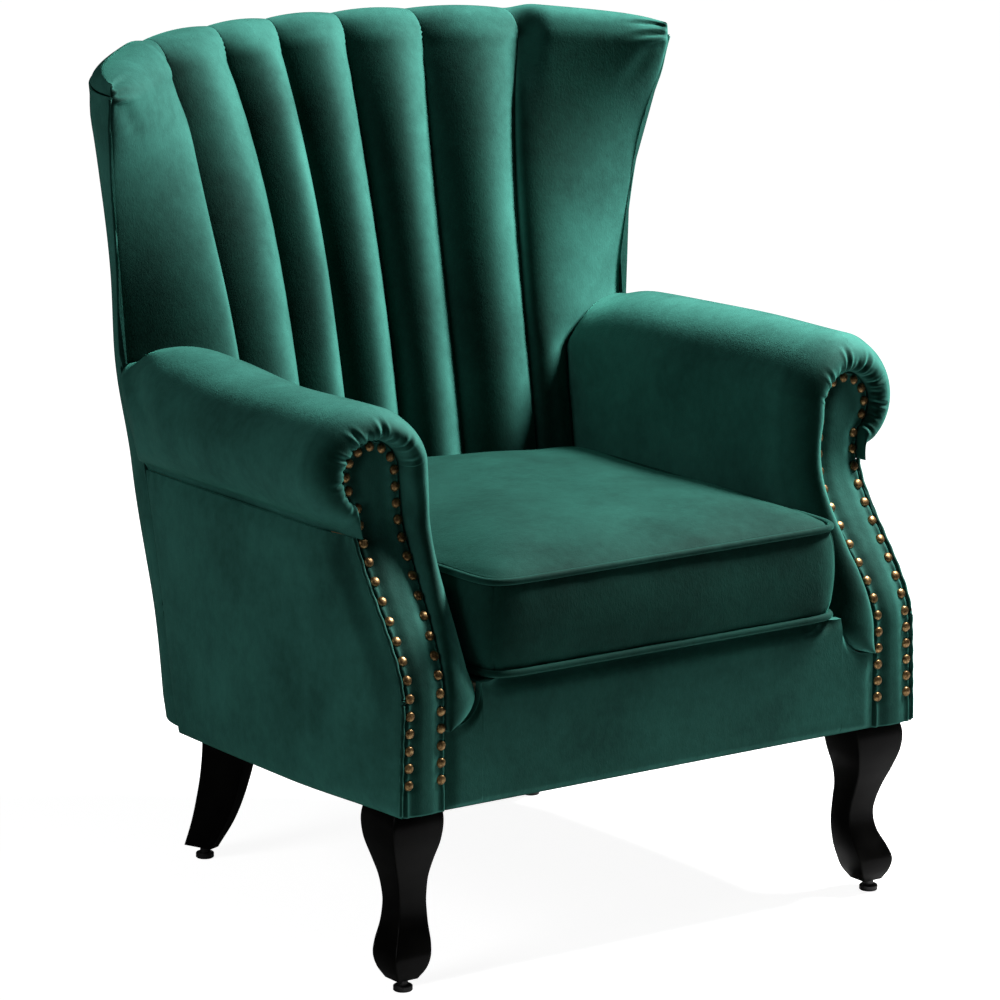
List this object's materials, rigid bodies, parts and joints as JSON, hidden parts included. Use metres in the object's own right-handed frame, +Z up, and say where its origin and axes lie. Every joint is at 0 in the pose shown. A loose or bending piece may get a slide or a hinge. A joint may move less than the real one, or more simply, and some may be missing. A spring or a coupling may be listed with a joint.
{
  "type": "wingback armchair",
  "caption": "Upholstered wing armchair with a channel-quilted fan back, rolled nailed arms, a loose piped seat cushion, curved front legs and levelling feet.",
  "frame": {"origin": "on the floor, midway between the arm rolls and midway from the front of the cushion to the top of the back", "axes": "+Z up, -Y towards the front of the seat, +X to the chair's right as seen from the front"},
  "size_m": [0.7832, 0.767, 0.95],
  "materials": {
    "velvet": "deep green short-pile velvet with a bright sheen",
    "black_lacquer": "black satin lacquer over wood",
    "brass": "antiqued, worn bright on the domes",
    "black_plastic": "moulded, matt",
    "steel": "zinc plated",
    "pine": "sawn softwood",
    "plywood": "sawn board edge",
    "webbing": "woven elastic strap",
    "foam": "open cell foam with wadding",
    "lining": "black non-woven cloth",
    "zip": "moulded teeth on woven tape"
  },
  "bodies": {
    "chair": {"front_rail": "pine", "back_base_rail": "plywood", "left_side_rail": "pine", "right_side_rail": "pine", "corner_blocks": "pine", "left_arm_stump": "pine", "right_arm_stump": "pine", "left_arm_rail": "pine", "right_arm_rail": "pine", "left_back_post": "pine", "right_back_post": "pine", "back_top_rail": "plywood", "lower_back_rail": "plywood", "left_wing_post": "pine", "right_wing_post": "pine", "left_wing_frame": "plywood", "right_wing_frame": "plywood", "seat_webbing": "webbing", "back_webbing": "webbing", "deck_pad": "foam", "deck_cover": "velvet", "dust_cover": "lining", "center_channel": "velvet", "left_inner_channel": "velvet", "right_inner_channel": "velvet", "left_outer_channel": "velvet", "right_outer_channel": "velvet", "left_wing_pad": "velvet", "right_wing_pad": "velvet", "outside_back": "velvet", "left_arm_pad": "velvet", "right_arm_pad": "velvet", "left_side_panel": "velvet", "right_side_panel": "velvet", "left_arm_facing": "velvet", "right_arm_facing": "velvet", "left_nailheads": "brass", "right_nailheads": "brass", "front_apron": "velvet", "front_left_leg": "black_lacquer", "front_right_leg": "black_lacquer", "rear_left_leg": "black_lacquer", "rear_right_leg": "black_lacquer", "leg_bolts": "steel", "leg_inserts": "steel"},
    "seat_cushion": {"seat_cushion": "velvet", "cushion_top_welt": "velvet", "cushion_bottom_welt": "velvet", "cushion_zip": "zip"},
    "front_left_glide": {"front_left_foot": "black_plastic", "front_left_stud": "steel"},
    "front_right_glide": {"front_right_foot": "black_plastic", "front_right_stud": "steel"},
    "rear_left_glide": {"rear_left_foot": "black_plastic", "rear_left_stud": "steel"},
    "rear_right_glide": {"rear_right_foot": "black_plastic", "rear_right_stud": "steel"}
  },
  "joints": [
    {"name": "cushion_lift", "type": "slide", "parent": "chair", "child": "seat_cushion", "axis": [0, 0, 1], "range_m": [0, 0.3]},
    {"name": "front_left_level", "type": "slide", "parent": "chair", "child": "front_left_glide", "axis": [0, 0, -1], "range_m": [0, 0.008]},
    {"name": "front_right_level", "type": "slide", "parent": "chair", "child": "front_right_glide", "axis": [0, 0, -1], "range_m": [0, 0.008]},
    {"name": "rear_left_level", "type": "slide", "parent": "chair", "child": "rear_left_glide", "axis": [0, 0, -1], "range_m": [0, 0.008]},
    {"name": "rear_right_level", "type": "slide", "parent": "chair", "child": "rear_right_glide", "axis": [0, 0, -1], "range_m": [0, 0.008]}
  ]
}
